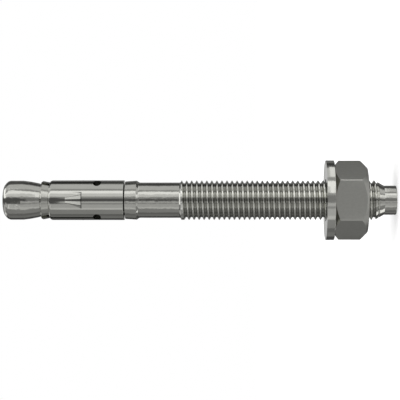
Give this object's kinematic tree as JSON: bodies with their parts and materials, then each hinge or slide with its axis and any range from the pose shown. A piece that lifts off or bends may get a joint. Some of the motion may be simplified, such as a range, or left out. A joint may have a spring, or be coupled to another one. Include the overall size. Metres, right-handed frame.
{
  "type": "wedge anchor",
  "caption": "Wedge anchor: a threaded steel stud with an expansion cone and a slotted clip sleeve at its nose, and a flat washer and hex nut at its other end.",
  "frame": {"origin": "the middle of the flat end that is struck, which the anchor stands on", "axes": "+Z along the anchor, from the struck end and the nut up to the expansion cone; -Y out of the nut's flat and the sleeve's nib that face the front; +X across, through two corners of the nut"},
  "size_m": [0.0196, 0.0197, 0.0972],
  "materials": {
    "bolt_steel": "bright cold-formed stainless steel, turned along its length",
    "sleeve_steel": "bright rolled stainless sheet",
    "washer_steel": "bright stamped stainless sheet",
    "nut_steel": "satin stainless steel with turned end faces"
  },
  "bodies": {
    "bolt": {"cone_bolt": "bolt_steel"},
    "sleeve": {"expansion_sleeve": "sleeve_steel"},
    "washer": {"washer": "washer_steel"},
    "nut": {"hex_nut": "nut_steel"}
  },
  "joints": [
    {"name": "sleeve_turn", "type": "hinge", "parent": "bolt", "child": "sleeve", "pos_m": [0, 0, 0.07745], "axis": [0, 0, -1], "continuous": true},
    {"name": "nut_travel", "type": "slide", "parent": "bolt", "child": "washer", "axis": [0, 0, -1], "range_m": [-0.035, 0.00625]},
    {"name": "nut_turn", "type": "hinge", "parent": "washer", "child": "nut", "pos_m": [0, 0, 0.01527], "axis": [0, 0, -1], "range_deg": [-10080, 1800]}
  ],
  "couplings": [
    {"joint": "nut_turn", "follows": "nut_travel", "rad_per_m": 5026.5}
  ]
}
